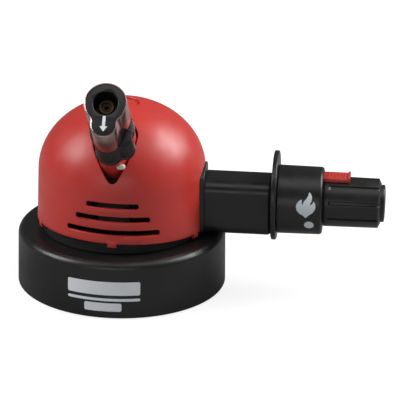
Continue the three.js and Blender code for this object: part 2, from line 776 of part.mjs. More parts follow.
function handleSaddle() {
  const low = STOCK_Z - STOCK_HALF_H + SADDLE_CORNER;
  const side = SADDLE_HALF_D - SADDLE_CORNER;
  const shape = outline([
    ...arc(side, low, SADDLE_CORNER, -90, 0, 4),
    ...archPoints(SADDLE_HALF_D, SADDLE_SHOULDER, SADDLE_PEAK),
    ...arc(-side, low, SADDLE_CORNER, 180, 270, 4),
  ]);
  const hole = roundedRect(PASSAGE.halfW, PASSAGE.halfH, 2, 0, PASSAGE.z);
  const passage = extrudedX(hole, SADDLE_START - EPS, SADDLE_END + EPS, 3);
  return cut(extrudedX(shape, SADDLE_START, SADDLE_END), passage);
}

function handleStock() {
  const start = SADDLE_END + GAP;
  const shape = roundedRect(STOCK_HALF_D, STOCK_HALF_H, STOCK_CORNER, 0, STOCK_Z);
  const section = extrudedX(shape, start, STOCK_END);
  const round = STOCK_END_ROUND;
  const sideShape = (half, middle) => outline([
    ...arc(STOCK_END - round, middle + half - round, round, 0, 90, 4),
    [start - EPS, middle + half],
    [start - EPS, middle - half],
    ...arc(STOCK_END - round, middle - half + round, round, -90, 0, 4),
  ]);
  const side = extruded(sideShape(STOCK_HALF_H, STOCK_Z), -20, 20).rotateX(Math.PI / 2);
  const plan = extruded(sideShape(STOCK_HALF_D, 0), 0, 90);
  const halfD = STOCK_HALF_D - STOCK_WALL;
  const halfH = STOCK_HALF_H - STOCK_WALL;
  const cavity = extrudedX(
    roundedRect(halfD, halfH, STOCK_CORNER - STOCK_WALL, 0, STOCK_Z), start - EPS, STOCK_END + EPS, 4,
  );
  return cut(common(section, side, plan), cavity);
}

function piezoHolder() {
  const shape = roundedRect(STOCK_HALF_D - STOCK_WALL - GAP, HOLDER_HALF_H, 2, 0, CONTROL_Z);
  const hole = rodX(PIEZO_R + GAP, HOLDER_START - EPS, HOLDER_END + EPS, SMOOTH).translate(0, 0, CONTROL_Z);
  return cut(extrudedX(shape, HOLDER_START, HOLDER_END, 3), hole);
}

function piezoIgniter() {
  const bore = ROD_R + GAP; // the push rod's end travels in it
  return turnedX([
    [0, PIEZO_START], [PIEZO_TAIL_R, PIEZO_START], [PIEZO_TAIL_R, PIEZO_BODY], [PIEZO_R, PIEZO_BODY],
    [PIEZO_R, PIEZO_END], [bore, PIEZO_END], [bore, PIEZO_BORE], [0, PIEZO_BORE],
  ], SMOOTH).translate(0, 0, CONTROL_Z);
}

function fingerGuard() {
  const disc = turnedX([
    [0, GUARD_START], [GUARD_R - GUARD_EDGE, GUARD_START], [GUARD_R, GUARD_START + GUARD_EDGE],
    [GUARD_R, GUARD_END - GUARD_EDGE], [GUARD_R - GUARD_EDGE, GUARD_END], [0, GUARD_END],
  ], FINE);
  const drop = CONTROL_Z - GUARD_Z;
  const hole = rodX(GUARD_HOLE_R, GUARD_START - EPS, GUARD_END + EPS, SMOOTH).translate(0, 0, drop);
  return cut(disc, hole).translate(0, 0, GUARD_Z);
}

function lockShape(grow) {
  const under = KNOB_R + GAP - grow;
  const half = LOCK_HALF_W + grow;
  const lean = THREE.MathUtils.radToDeg(Math.asin(half / under));
  return outline([
    ...arc(0, 0, under, 90 + lean, 90 - lean, 8),
    [half, LOCK_TOP - LOCK_EDGE + grow],
    [half - LOCK_EDGE, LOCK_TOP + grow],
    [-half + LOCK_EDGE, LOCK_TOP + grow],
    [-half, LOCK_TOP - LOCK_EDGE + grow],
  ]);
}

function controlCollar() {
  const inner = COLLAR_R - COLLAR_SHELL;
  const innerFace = COLLAR_FACE - COLLAR_SHELL;
  const shell = turnedX([
    [inner, COLLAR_START],
    [COLLAR_R, COLLAR_START],
    ...arc(COLLAR_TIP_R - COLLAR_FILLET, COLLAR_FACE - COLLAR_FILLET, COLLAR_FILLET, 0, 90, 4),
    [COLLAR_BORE_R, COLLAR_FACE],
    [COLLAR_BORE_R, innerFace],
    [inner, innerFace],
  ], FINE);
  const pocket = extrudedX(lockShape(GAP), LOCK_START - LOCK_TRAVEL - 0.5, COLLAR_FACE + EPS);
  return cut(shell, pocket).translate(0, 0, CONTROL_Z);
}

function valveCarrier() {
  const { r, start, end } = VALVE_CARRIER;
  return turnedX([[GAS_VALVE.r + GAP, start], [r, start], [r, end], [GAS_VALVE.r + GAP, end]])
    .translate(0, 0, CONTROL_Z);
}

function valveBody() {
  const { r, start, seat, end } = GAS_VALVE;
  const bore = SPINDLE_R + GAP;
  return turnedX([
    [ROD_R + GAP, start], [r, start], [r, end], [bore, end], [bore, seat], [ROD_R + GAP, seat],
  ], SMOOTH).translate(0, 0, CONTROL_Z);
}

function valveSpindle() {
  const bore = ROD_R + GAP;
  const end = RECESS_X - 1;
  return turnedX([[bore, SPINDLE_START], [SPINDLE_R, SPINDLE_START], [SPINDLE_R, end], [bore, end]])
    .translate(0, 0, CONTROL_Z);
}

function controlKnob() {
  const body = turnedX([
    [SPINDLE_R + GAP, HUB_START],
    [HUB_R, HUB_START],
    [HUB_R, KNOB_START],
    [KNOB_R - KNOB_EDGE, KNOB_START],
    [KNOB_R, KNOB_START + KNOB_EDGE],
    [KNOB_TIP_R, KNOB_END - KNOB_CHAMFER_X],
    [KNOB_TIP_R - KNOB_CHAMFER_R, KNOB_END],
    [BUTTON_SOCKET_R, KNOB_END],
    [BUTTON_SOCKET_R, RECESS_X],
    [SPINDLE_R + GAP, RECESS_X],
  ], 36);
  const grooves = [];
  for (let i = 0; i < GROOVES; i += 1) {
    const elevation = GROOVE_FIRST + (360 / GROOVES) * i;
    const outer = [KNOB_END + EPS, -KNOB_R + GROOVE_DEPTH, GROOVE_W / 2];
    grooves.push(block([GROOVE_START, -KNOB_R - 2, -GROOVE_W / 2], outer).rotateX(rad(-elevation)));
  }
  return cut(body, ...grooves).translate(0, 0, CONTROL_Z);
}

function ignitionButton() {
  return turnedX([
    [0, BUTTON_BACK], [BUTTON_R, BUTTON_BACK],
    [BUTTON_R, BUTTON_TIP - 1.3], [BUTTON_R - 0.9, BUTTON_TIP - 0.4],
    [BUTTON_R - 4, BUTTON_TIP - 0.1], [0, BUTTON_TIP],
  ]).translate(0, 0, CONTROL_Z);
}

function pushRod() {
  return rodX(ROD_R, ROD_START, BUTTON_BACK - GAP).translate(0, 0, CONTROL_Z);
}

function lockSlider() {
  const tongue = extrudedX(lockShape(0), LOCK_START, LOCK_END);
  const lipLow = [LOCK_END - LOCK_LIP_W, -LOCK_HALF_W, LOCK_TOP - 1];
  const lip = block(lipLow, [LOCK_END, LOCK_HALF_W, LOCK_TOP + 0.5]);
  const ribHalfW = LOCK_HALF_W - 0.9;
  const ribs = [];
  for (let x = LOCK_RIB_FIRST; x < LOCK_END - 2; x += LOCK_RIB_PITCH) {
    ribs.push(block([x, -ribHalfW, LOCK_TOP - 0.5], [x + LOCK_RIB_W, ribHalfW, LOCK_TOP + 0.3]));
  }
  return join(tongue, lip, ...ribs).translate(0, 0, CONTROL_Z);
}

// ----------------------------------------------------------------- assembly

const torch = new THREE.Group();

torch.add(
  piece('base_shell', baseShell(), blackPlastic),
  piece('anti_slip_pad', antiSlipPad(), blackRubber),
  piece('base_cover', baseCover(), blackPlastic),
  piece('base_weight', baseWeight(), steel),
  ...bossPlaces().map((place, i) => piece(`base_screw_${i + 1}`, baseScrew(place), steel)),
  piece('chassis_tray', chassisTray(), blackPlastic),
  ...chassisPlaces().map((place, i) => piece(`chassis_screw_${i + 1}`, chassisScrew(place), steel)),
  piece('dome_shell', domeShell(), redPlastic),
  piece('top_cap', topCap(), redPlastic),
);

torch.add(
  piece('fuel_tank', fuelTank(), smokedPlastic),
  piece('fill_valve_body', fillValveBody(), brass),
  piece('fill_valve_stem', fillValveStem(), brass),
  piece('outlet_fitting', outletFitting(), brass),
  piece('gas_supply_tube', gasSupplyTube(), clearTube),
  piece('gas_delivery_tube', gasDeliveryTube(), clearTube),
  piece('burner_bracket', burnerBracket(), blackPlastic),
  piece('ignition_lead', ignitionLead(), leadSheath),
);

const burner = new THREE.Group();
burner.applyMatrix4(burnerFrame());
burner.add(
  piece('burner_sleeve', burnerSleeve(), chrome),
  piece('burner_face_plate', burnerFacePlate(), blackPlastic),
  piece('burner_core', burnerCore(), blackPlastic),
  piece('burner_nozzle', burnerNozzle(), brass),
  piece('burner_tube', burnerTube(), brass),
  piece('burner_collar', burnerCollar(), blackPlastic),
  piece('burner_neck', burnerNeck(), redPlastic),
  piece('electrode_insulator', electrodeInsulator(), ceramic),
  piece('electrode', electrode(), steel),
  piece('insulator_plug', insulatorPlug(), ceramic),
);
torch.add(burner);

torch.add(
  piece('handle_saddle', handleSaddle(), blackPlastic),
  piece('handle_stock', handleStock(), blackPlastic),
  piece('piezo_holder', piezoHolder(), blackPlastic),
  piece('piezo_igniter', piezoIgniter(), blackPlastic),
  piece('finger_guard', fingerGuard(), blackPlastic),
  piece('control_collar', controlCollar(), blackPlastic),
  piece('valve_carrier', valveCarrier(), blackPlastic),
  piece('valve_body', valveBody(), brass),
  piece('valve_spindle', valveSpindle(), brass),
  piece('control_knob', controlKnob(), blackPlastic),
  piece('ignition_button', ignitionButton(), blackPlastic),
  piece('ignition_push_rod', pushRod(), steel),
  piece('lock_slider', lockSlider(), redLock),
);

export default torch;
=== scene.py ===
"""Looks for the table-top butane torch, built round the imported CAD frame.

Lengths are in millimetres in this script's own constants and are turned into
metres as each mesh is made. Only the camera and the lights are placed in metres.
Main sizes and places come from the frame.
"""
import json
import math

import bmesh
import bpy
from mathutils import Matrix, Vector


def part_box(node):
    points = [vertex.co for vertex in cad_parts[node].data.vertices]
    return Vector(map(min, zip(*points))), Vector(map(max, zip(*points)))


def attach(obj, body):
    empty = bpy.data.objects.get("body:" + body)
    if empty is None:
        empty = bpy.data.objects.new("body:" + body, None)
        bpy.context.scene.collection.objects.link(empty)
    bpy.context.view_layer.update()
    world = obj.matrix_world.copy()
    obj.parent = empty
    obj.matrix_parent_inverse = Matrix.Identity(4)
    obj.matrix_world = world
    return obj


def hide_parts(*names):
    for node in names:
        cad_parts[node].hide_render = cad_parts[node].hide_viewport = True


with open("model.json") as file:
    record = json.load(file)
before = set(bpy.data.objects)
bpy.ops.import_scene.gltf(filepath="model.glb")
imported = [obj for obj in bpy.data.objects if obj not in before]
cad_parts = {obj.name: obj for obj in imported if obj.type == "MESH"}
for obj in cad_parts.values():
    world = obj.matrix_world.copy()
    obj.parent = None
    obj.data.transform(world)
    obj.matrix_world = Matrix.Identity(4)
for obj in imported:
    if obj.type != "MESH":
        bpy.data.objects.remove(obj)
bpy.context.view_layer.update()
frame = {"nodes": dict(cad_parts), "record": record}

MM = 0.001
ROUND = 192  # facets round the large turned pieces
SMALL_ROUND = 64  # facets round pins and bores


def box_mm(node):
    low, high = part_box(node)
    return low / MM, high / MM


# ------------------------------------------------------------- dimensions

base_low, base_high = box_mm("base_shell")
dome_low, dome_high = box_mm("dome_shell")
cap_low, cap_high = box_mm("top_cap")
tray_low, tray_high = box_mm("chassis_tray")
saddle_low, saddle_high = box_mm("handle_saddle")
stock_low, stock_high = box_mm("handle_stock")
guard_low, guard_high = box_mm("finger_guard")
collar_low, collar_high = box_mm("control_collar")
knob_low, knob_high = box_mm("control_knob")
button_low, button_high = box_mm("ignition_button")
lock_low, lock_high = box_mm("lock_slider")
tube_low, tube_high = box_mm("burner_tube")

BASE_R = base_high.x
BASE_TOP_R = BASE_R - 0.26
BASE_TOP = base_high.z
BASE_FILLET = 4.0
BASE_WALL = 2.5
TANK_HOLE_R = 26.3
BASE_BARS = (  # left, bottom, width, height
    (-22.5, 13.4, 38.5, 7.4), (-22.5, 10.1, 38.5, 1.5), (-13.2, 4.4, 19.5, 4.6),
)

TAB_DROP = 2.0
TAB_WIDTH = 4.8
TAB_THICKNESS = 1.7
TAB_INSET = 0.05
TAB_ANGLES = (0, 67, -67)
DOME_RIM = 37.5  # at the front
RIM_FALL = 0.075  # the rim and the vents fall towards the back
RIM_LEAN = 0.03  # and a little towards the handle
DOME_BOTTOM = dome_low.z
DOME_RIM_R = 44.63
DOME_R = 43.94
DOME_SHOULDER = 62.6
DOME_RISE = 37.4
DOME_INNER_RISE = 33.4
DOME_WALL = 2.2
RECESS_R = 8.75
RECESS_FLOOR = 97.0
VENTS = ((58.3, 18), (51.0, 26), (43.7, 33))  # height, half angle
VENT_HEIGHT = 2.9

BURNER_ANGLE = 42
TUBE_FRONT = 13.1
TUBE_END = 66.8
MAIN_R = 10.2
LOBE_R = 6.1
LOBE_DROP = 11.5
BLEND_R = 5.0
SLEEVE_WALL = 0.6
SLEEVE_LENGTH = 21.6
FACE_SINK = 0.4
FACE_THICKNESS = 2.2
BORE_R = 6.3
NOZZLE_DEPTH = 5.8
COLLAR_END = 38.0
COLLAR_WALL = 0.9
COLLAR_LIP = 2.0
COLLAR_LIP_WALL = 1.4
EAR = (6.9, -9.8)
EAR_R = 5.4
NECK_TOP = (1.0, 11.0)  # height and radius of its circles
NECK_LOBE = (-10.6, 7.0)
NECK_END = 59.5
CHANNEL_R = 2.5
PLUG_R = 1.45
PLUG_ENDS = (2.6, 7.3)
PLUG_DROP = 16.2
PLUG_DEPTH = 45.9

CONTROL_Z = (button_low.z + button_high.z) / 2
GUARD_Z = (guard_low.z + guard_high.z) / 2
GUARD_R = (guard_high.y - guard_low.y) / 2
STOCK_Z = (stock_low.z + stock_high.z) / 2
STOCK_CORNER = 6.0
SADDLE_SHOULDER = 60.8
PASSAGE_HALF_WIDTH = 8.5
PASSAGE_LOW = 36.5
PASSAGE_HIGH = 57.5
HANDLE_WALL = 2.2
COLLAR_R = 17.95
COLLAR_TIP_R = 17.75
COLLAR_FILLET = 1.6
COLLAR_HOLE_R = 10.8
KNOB_START = collar_high.x + 0.35
KNOB_R = 13.26
KNOB_TIP_R = 12.99
KNOB_CHAMFER_X = 1.2
KNOB_CHAMFER_R = 2.5
GROOVES = 9
GROOVE_FIRST = 16
GROOVE_WIDTH = 1.9
GROOVE_DEPTH = 0.9
GROOVE_START = 109.0
RECESS_X = 122.5
SPINDLE_HOLE_R = 4.3
LOCK_TOP = 14.6
LOCK_POCKET_DEPTH = 6.5  # behind the lock, which slides 6
LOCK_LIP = 1.3
RIB_START = 108.0
RIB_WIDTH = 0.8
RIB_PITCH = 1.7

FLAME_X = 97.7
DOT_X = 1.9  # from the flame's middle
DOT_ANGLE = -25  # degrees up from the front, as is the pointer's
DOT_R = 2.5
POINTER_X = KNOB_START + 3.1
POINTER_ANGLE = 51

INK = 0.05  # thickness of a printed mark


# ------------------------------------------------------------ mesh helpers

def new_object(name, bm):
    """Turns a bmesh in millimetres into an object in metres."""
    bmesh.ops.recalc_face_normals(bm, faces=bm.faces)
    bm.transform(Matrix.Scale(MM, 4))
    mesh = bpy.data.meshes.new(name)
    bm.to_mesh(mesh)
    bm.free()
    mesh.shade_smooth()
    mesh.set_sharp_from_angle(angle=math.radians(35))
    obj = bpy.data.objects.new(name, mesh)
    bpy.context.scene.collection.objects.link(obj)
    return obj


def loft(name, loops, ring=False, place=Matrix()):
    """Skins loops of equal length. A ring joins its last loop to its first."""
    bm = bmesh.new()
    rows = [[bm.verts.new(place @ Vector(point)) for point in loop] for loop in loops]
    pairs = list(zip(rows, rows[1:]))
    if ring:
        pairs.append((rows[-1], rows[0]))
    for low, high in pairs:
        for i in range(len(low)):
            j = (i + 1) % len(low)
            bm.faces.new((low[i], low[j], high[j], high[i]))
    if not ring:
        bm.faces.new(list(reversed(rows[0])))
        bm.faces.new(rows[-1])
    return new_object(name, bm)


def circle(r, height, count):
    step = 2 * math.pi / count
    return [(r * math.cos(step * i), r * math.sin(step * i), height) for i in range(count)]


def lathe(name, profile, count=ROUND, place=Matrix()):
    """Turns [radius, height] points about Z. Off the axis, the profile closes on itself."""
    on_axis = profile[0][0] == 0
    loops = [circle(r, height, count) for r, height in profile if r > 0]
    return loft(name, loops, ring=not on_axis, place=place)


def prism(name, outline, low, high, place=Matrix()):
    return loft(name, [[(x, y, low) for x, y in outline], [(x, y, high) for x, y in outline]], place=place)


def arc(cx, cy, r, start, end, steps):
    angles = [math.radians(start + (end - start) * i / steps) for i in range(steps + 1)]
    return [(cx + r * math.cos(a), cy + r * math.sin(a)) for a in angles]


ALONG_X = Matrix(((0, 0, 1, 0), (1, 0, 0, 0), (0, 1, 0, 0), (0, 0, 0, 1)))


def bake(obj):
    """Makes the object's modifiers part of its mesh."""
    bpy.context.view_layer.update()
    old = obj.data
    mesh = bpy.data.meshes.new_from_object(obj.evaluated_get(bpy.context.evaluated_depsgraph_get()))
    obj.modifiers.clear()
    obj.data = mesh
    bpy.data.meshes.remove(old)


def combine(obj, tool, operation):
    modifier = obj.modifiers.new(operation, "BOOLEAN")
    modifier.operation = operation
    modifier.solver = "EXACT"
    modifier.object = tool
    bake(obj)
    bpy.data.objects.remove(tool)


def round_edges(obj, width):
    """Rounds the sharp edges, as a mould leaves them."""
    bm = bmesh.new()
    bm.from_mesh(obj.data)
    bmesh.ops.remove_doubles(bm, verts=bm.verts, dist=0.03 * MM)
    bmesh.ops.dissolve_degenerate(bm, edges=bm.edges, dist=0.02 * MM)
    sharp = [e for e in bm.edges if e.is_manifold and e.calc_face_angle() > math.radians(40)]
    bmesh.ops.bevel(
        bm, geom=sharp, offset=width * MM, segments=2, profile=0.5, affect="EDGES",
        clamp_overlap=False,
    )
    bmesh.ops.recalc_face_normals(bm, faces=bm.faces)
    bm.to_mesh(obj.data)
    bm.free()
    obj.data.shade_smooth()
    obj.data.set_sharp_from_angle(angle=math.radians(50))


def wrapped_print(name, outline, r, place, slices=0.8):
    """A printed mark on a cylinder: an outline of (along the axis, round it) points.

    It is built flat, sliced so that it can bend, and wrapped round at radius r.
    """
    bm = bmesh.new()
    face = bm.faces.new([bm.verts.new((u, v, 0)) for u, v in outline])
    bmesh.ops.triangulate(bm, faces=[face])
    lows = [v for _, v in outline]
    height = min(lows) + slices
    while height < max(lows):
        geometry = list(bm.verts) + list(bm.edges) + list(bm.faces)
        bmesh.ops.bisect_plane(bm, geom=geometry, plane_co=(0, height, 0), plane_no=(0, 1, 0))
        height += slices
    shell = bmesh.ops.extrude_face_region(bm, geom=list(bm.faces))
    lifted = [item for item in shell["geom"] if isinstance(item, bmesh.types.BMVert)]
    bmesh.ops.translate(bm, verts=lifted, vec=(0, 0, INK))
    for vert in bm.verts:
        u, v, lift = vert.co
        angle = v / r
        radius = r + 0.02 + lift
        vert.co = place @ Vector((u, -radius * math.cos(angle), radius * math.sin(angle)))
    return new_object(name, bm)


# --------------------------------------------------------------- materials

def node(tree, kind, **inputs):
    made = tree.nodes.new(kind)
    for key, value in inputs.items():
        made.inputs[key.replace("_", " ")].default_value = value
    return made


def noise(tree, coordinates, scale, detail=3.0):
    made = node(tree, "ShaderNodeTexNoise", Scale=scale, Detail=detail)
    tree.links.new(coordinates, made.inputs["Vector"])
    return made.outputs["Fac"]


def spread(tree, value, low, high):
    made = tree.nodes.new("ShaderNodeMapRange")
    tree.links.new(value, made.inputs["Value"])
    made.inputs["From Min"].default_value = 0.3
    made.inputs["From Max"].default_value = 0.7
    made.inputs["To Min"].default_value = low
    made.inputs["To Max"].default_value = high
    return made.outputs["Result"]


def mix_colours(tree, factor, first, second):
    made = tree.nodes.new("ShaderNodeMix")
    made.data_type = "RGBA"
    tree.links.new(factor, made.inputs["Factor"])
    for socket, colour in ((made.inputs["A"], first), (made.inputs["B"], second)):
        if hasattr(colour, "is_output"):
            tree.links.new(colour, socket)
        else:
            socket.default_value = (*colour, 1)
    return made.outputs["Result"]


def edge_wear(tree, amount):
    """Bright where an outside edge is rubbed, from the surface's own curvature."""
    geometry = tree.nodes.new("ShaderNodeNewGeometry")
    made = tree.nodes.new("ShaderNodeMapRange")
    tree.links.new(geometry.outputs["Pointiness"], made.inputs["Value"])
    made.inputs["From Min"].default_value = 0.53
    made.inputs["From Max"].default_value = 0.62
    made.inputs["To Max"].default_value = amount
    return made.outputs["Result"]


def surface(name, colour, roughness, grain, grain_depth, tone=0.85, wear=0.15,
            metallic=0.0, spread_of_roughness=0.06, coat=0.0):
    """A procedural finish: fine grain, patchy tone and gloss, and rubbed edges."""
    material = bpy.data.materials.new(name)
    material.use_nodes = True
    tree = material.node_tree
    shader = tree.nodes["Principled BSDF"]
    coordinates = tree.nodes.new("ShaderNodeTexCoord").outputs["Object"]
    patches = noise(tree, coordinates, 45.0)
    dark = tuple(c * tone for c in colour)
    toned = mix_colours(tree, spread(tree, patches, 0.0, 1.0), dark, colour)
    worn = tuple(min(1.0, c * 1.6 + 0.02) for c in colour)
    tree.links.new(mix_colours(tree, edge_wear(tree, wear), toned, worn), shader.inputs["Base Color"])
    smears = noise(tree, coordinates, 120.0, 5.0)
    low, high = roughness - spread_of_roughness, roughness + spread_of_roughness
    tree.links.new(spread(tree, smears, low, high), shader.inputs["Roughness"])
    bump = node(tree, "ShaderNodeBump", Strength=0.5, Distance=grain_depth * MM)
    tree.links.new(noise(tree, coordinates, 1000.0 / grain, 4.0), bump.inputs["Height"])
    tree.links.new(bump.outputs["Normal"], shader.inputs["Normal"])
    shader.inputs["Metallic"].default_value = metallic
    shader.inputs["Coat Weight"].default_value = coat
    shader.inputs["Coat Roughness"].default_value = 0.25
    return material


RED = (0.56, 0.040, 0.032)
BLACK = (0.010, 0.0095, 0.009)

looks = {
    "red_plastic": surface("red_plastic", RED, 0.38, 0.9, 0.012, tone=0.94, wear=0.10),
    "black_plastic": surface("black_plastic", BLACK, 0.36, 0.7, 0.006, tone=0.85, wear=0.12),
    "black_rubber": surface("black_rubber", (0.012, 0.012, 0.012), 0.85, 1.2, 0.05, tone=0.7, wear=0.1),
    "smoked_plastic": surface("smoked_plastic", (0.03, 0.032, 0.036), 0.25, 1.5, 0.01),
    "steel": surface("steel", (0.5, 0.5, 0.51), 0.35, 0.5, 0.01, metallic=1.0),
    # The chrome's colour is tinted pink: the tint is a painted reflection of the red dome, which the sleeve's
    # underside mirrors.
    "chrome": surface("chrome", (0.54, 0.36, 0.345), 0.24, 4.0, 0.001, tone=0.95, metallic=1.0,
                      spread_of_roughness=0.03),
    "brass": surface("brass", (0.11, 0.075, 0.048), 0.5, 0.6, 0.012, tone=0.6, metallic=1.0),
    "ceramic": surface("ceramic", (0.74, 0.70, 0.58), 0.35, 1.0, 0.01, tone=0.9, coat=0.3),
    "red_lock": surface("red_lock", (0.46, 0.035, 0.025), 0.42, 0.6, 0.012, tone=0.92, wear=0.10),
    "clear_tube": surface("clear_tube", (0.62, 0.60, 0.52), 0.3, 1.0, 0.01, tone=0.9),
    "lead_sheath": surface("lead_sheath", (0.03, 0.03, 0.03), 0.5, 0.6, 0.01),
}
shadow_black = surface("shadow_black", (0.004, 0.004, 0.004), 0.7, 0.7, 0.006, tone=0.85, wear=0.0)
white_ink = surface("white_ink", (0.84, 0.88, 0.92), 0.5, 0.5, 0.01, tone=0.93, wear=0.0)
silver_ink = surface("silver_ink", (0.72, 0.80, 0.84), 0.45, 0.5, 0.01, tone=0.93, wear=0.0)
grey_ink = surface("grey_ink", (0.20, 0.21, 0.21), 0.5, 0.5, 0.01, tone=0.93, wear=0.0)


def dress(obj, slot, body="torch", replaces=(), material=None):
    """Gives a piece its finish, its body and the CAD nodes it stands for."""
    obj.data.materials.clear()
    obj.data.materials.append(material or looks[slot])
    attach(obj, body)
    if replaces:
        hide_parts(*replaces)


# -------------------------------------------------------------------- base

def base_shell():
    inner_top = BASE_TOP - BASE_WALL
    inner_r = BASE_TOP_R - BASE_WALL
    inner_fillet = BASE_FILLET / 2
    shell = lathe("base_shell_look", [
        (BASE_R - BASE_WALL, base_low.z),
        (BASE_R - 0.6, base_low.z),
        *arc(BASE_R - 0.6, base_low.z + 0.6, 0.6, -60, 0, 4),
        *arc(BASE_TOP_R - BASE_FILLET, BASE_TOP - BASE_FILLET, BASE_FILLET, 0, 90, 16),
        (TANK_HOLE_R, BASE_TOP),
        (TANK_HOLE_R, inner_top),
        *arc(inner_r - inner_fillet, inner_top - inner_fillet, inner_fillet, 90, 0, 8),
    ])
    dress(shell, "black_plastic", replaces=["base_shell"])


def base_mark():
    """A plain block mark printed on the front of the base: no lettering."""
    for i, (left, bottom, width, height) in enumerate(BASE_BARS):
        outline = []
        for cx, cy, start in (
            (left + width, bottom + height, 0), (left, bottom + height, 90),
            (left, bottom, 180), (left + width, bottom, 270),
        ):
            r = min(0.9, height / 2.2)
            sx = -r if cx > left else r
            sy = -r if cy > bottom else r
            outline += arc(cx + sx, cy + sy, r, start, start + 90, 4)
        turned = [(y, x) for x, y in outline]
        place = Matrix(((0, 0, 1, 0), (0, 1, 0, 0), (1, 0, 0, 0), (0, 0, 0, 1)))
        mark = wrapped_print(f"base_mark_{i + 1}", turned, BASE_R - 0.05, place)
        dress(mark, "black_plastic", material=white_ink)


# ----------------------------------------------------------------- housing

def arch_outline(half, bottom, shoulder, peak, corner=0.0):
    points = [(half * math.cos(math.pi * i / 32), shoulder + (peak - shoulder) * math.sin(math.pi * i / 32))
              for i in range(33)]
    if corner:
        left = arc(-half + corner, bottom + corner, corner, 180, 270, 6)
        right = arc(half - corner, bottom + corner, corner, 270, 360, 6)
        return points + left + right
    return points + [(-half, bottom), (half, bottom)]


def arch_tool(name):
    half = saddle_high.y + 0.3
    outline = arch_outline(half, saddle_low.z - 6, SADDLE_SHOULDER, saddle_high.z + 0.3)
    return prism(name, outline, saddle_low.x - 0.3, BASE_R, ALONG_X)


def chassis_tray():
    wall = 1.8
    floor = tray_low.z + 3
    r = tray_high.y
    tray = lathe("chassis_tray_look", [
        (TANK_HOLE_R, tray_low.z), (r - 0.3, tray_low.z), (r, tray_low.z + 0.3), (r, tray_high.z - 0.3),
        (r - 0.3, tray_high.z), (r - wall, tray_high.z), (r - wall, floor), (TANK_HOLE_R, floor),
    ])
    combine(tray, arch_tool("tray_arch"), "DIFFERENCE")
    dress(tray, "black_plastic", replaces=["chassis_tray"], material=shadow_black)


def burner_place():
    """The burner's frame: the mouth's centre, +Z out of it, the lobe on the -Y side."""
    turn = Matrix.Rotation(math.radians(90 - BURNER_ANGLE), 4, "X")
    middle = (tube_low + tube_high) / 2
    mouth = middle + turn.to_3x3() @ Vector((0, 0, (TUBE_FRONT + TUBE_END) / 2))
    return Matrix.Translation(mouth) @ turn


BURNER = burner_place()


def dome_profile():
    inner_r = DOME_R - DOME_WALL
    edge = math.asin(RECESS_R / DOME_R)
    steps = 48
    outer = []
    inner = []
    for i in range(steps + 1):
        angle = math.pi / 2 - (math.pi / 2 - edge) * i / steps
        outer.append((DOME_R * math.sin(angle), DOME_SHOULDER + DOME_RISE * math.cos(angle)))
    for i in range(1, 17):
        angle = math.pi / 2 * i / 16
        inner.append((inner_r * math.sin(angle), DOME_SHOULDER + DOME_INNER_RISE * math.cos(angle)))
    lip = outer[-1]
    outer[-1] = (lip[0] + 0.35, lip[1] + 0.02)
    rows = 12  # short faces, so that the cuts don't disturb the shading far from them
    skirt = []
    for i in range(rows):
        flare = (DOME_RIM_R - DOME_R) * (1 - i / rows)
        skirt.append((flare, DOME_BOTTOM + (DOME_SHOULDER - DOME_BOTTOM) * i / rows))
    return [
        (1.5, RECESS_FLOOR - 1.2), *inner,
        *[(inner_r + flare, z) for flare, z in reversed(skirt)],
        *[(DOME_R + flare, z) for flare, z in skirt], *outer,
        (lip[0] + 0.1, lip[1] - 0.08), (lip[0], lip[1] - 0.4), (RECESS_R, RECESS_FLOOR),
        (1.5, RECESS_FLOOR),
    ]


def slanted(z):
    """Lays a piece on the rim's slant, at a height measured at the dome's front."""
    return Matrix((
        (1, 0, 0, 0), (0, 1, 0, 0), (-RIM_LEAN, -RIM_FALL, 1, z - RIM_FALL * DOME_RIM_R), (0, 0, 0, 1),
    ))


def vent_tool(height, half_angle):
    """A curved slot with round ends, cut straight in from the front."""
    r = DOME_R
    reach = r * math.sin(math.radians(half_angle))
    outline = [
        *arc(reach - VENT_HEIGHT / 2, 0, VENT_HEIGHT / 2, -90, 90, 8),
        *arc(-reach + VENT_HEIGHT / 2, 0, VENT_HEIGHT / 2, 90, 270, 8),
    ]
    upright = Matrix(((1, 0, 0, 0), (0, 0, 1, 0), (0, 1, 0, 0), (0, 0, 0, 1)))
    return prism("vent_tool", outline, -r - 8, -16, slanted(height) @ upright)


def bow(start, control, end, steps):
    """Points of a quadratic curve, without its ends."""
    points = []
    for i in range(1, steps):
        t = i / steps
        weights = ((1 - t) ** 2, 2 * t * (1 - t), t * t)
        points.append(tuple(sum(w * p[k] for w, p in zip(weights, (start, control, end))) for k in (0, 1)))
    return points


def teardrop_outline():
    """A half circle on top, bowed sides and a small round tip."""
    top_y, top_r, waist, tip_x, tip_y, tip_r, lean = 2.0, 11.8, (10.6, -9.0), 0.5, -20.4, 3.0, 32
    tip = arc(tip_x, tip_y, tip_r, 180 + lean, 360 - lean, 16)
    return [
        *arc(0, top_y, top_r, 0, 180, 48),
        *bow((-top_r, top_y), (-waist[0], waist[1]), tip[0], 24),
        *tip,
        *bow(tip[-1], waist, (top_r, top_y), 24),
    ]


